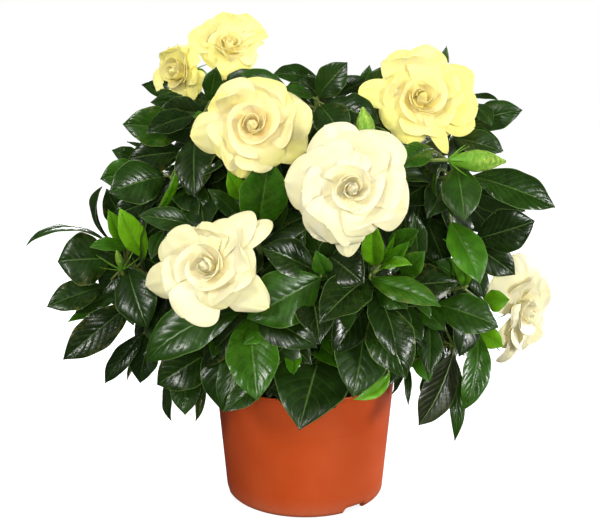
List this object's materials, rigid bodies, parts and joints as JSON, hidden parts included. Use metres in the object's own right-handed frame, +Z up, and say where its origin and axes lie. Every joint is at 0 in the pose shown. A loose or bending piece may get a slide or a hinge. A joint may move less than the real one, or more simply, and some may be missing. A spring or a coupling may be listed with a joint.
{
  "type": "potted gardenia",
  "caption": "Small flowering shrub with glossy leaves and double cream flowers, growing in a round tapered plastic plant pot.",
  "frame": {"origin": "middle of the pot's foot, on the surface that the pot stands on", "axes": "+Z up along the pot's axis, -Y towards the viewer of the picture, +X to that viewer's right"},
  "size_m": [0.3616, 0.3029, 0.3414],
  "materials": {
    "pot_plastic": "smooth terracotta-orange plastic, satin",
    "potting_mix": "rough damp peat mix",
    "bark": "fine-cracked brown-grey bark",
    "leaf": "waxy, glossy, with sunken side veins",
    "petal": "soft, matt, slightly translucent cream",
    "calyx": "smooth waxy light green"
  },
  "bodies": {
    "root": {"pot": "pot_plastic", "potting_soil": "potting_mix", "woody_stem": "bark", "flower_top_left_heart": "petal", "flower_top_heart": "petal", "flower_yellow_left_heart": "petal", "flower_front_heart": "petal", "flower_yellow_right_heart": "petal", "flower_left_heart": "petal", "flower_right_heart": "petal", "flower_top_left_petals": "petal", "flower_top_petals": "petal", "flower_yellow_left_petals": "petal", "flower_front_petals": "petal", "flower_yellow_right_petals": "petal", "flower_left_petals": "petal", "flower_right_petals": "petal", "flower_top_left_calyx": "calyx", "flower_top_calyx": "calyx", "flower_yellow_left_calyx": "calyx", "flower_front_calyx": "calyx", "flower_yellow_right_calyx": "calyx", "flower_left_calyx": "calyx", "flower_right_calyx": "calyx", "bud_right": "calyx", "bud_top": "calyx", "bud_left": "calyx", "shoot_left_tuft": "leaf", "shoot_low_left": "leaf", "shoot_hanging_left": "leaf", "shoot_front_low": "leaf", "shoot_centre": "leaf", "shoot_right_rosette": "leaf", "shoot_pot_front": "leaf", "shoot_right_low": "leaf", "shoot_right_mid": "leaf", "shoot_right_high": "leaf", "shoot_top_right": "leaf", "shoot_top_centre": "leaf", "shoot_top_left": "leaf", "shoot_left": "leaf", "shoot_mid_left": "leaf", "shoot_back_low_1": "leaf", "shoot_back_low_2": "leaf", "shoot_back_low_3": "leaf", "shoot_back_low_4": "leaf", "shoot_back_low_5": "leaf", "shoot_back_mid_1": "leaf", "shoot_back_mid_2": "leaf", "shoot_back_mid_3": "leaf", "shoot_back_mid_4": "leaf", "shoot_back_high_1": "leaf", "shoot_back_high_2": "leaf", "shoot_back_high_3": "leaf", "shoot_inner_low_1": "leaf", "shoot_inner_low_2": "leaf", "shoot_inner_low_3": "leaf", "shoot_inner_high_1": "leaf", "shoot_inner_high_2": "leaf", "shoot_inner_high_3": "leaf"}
  },
  "joints": []
}
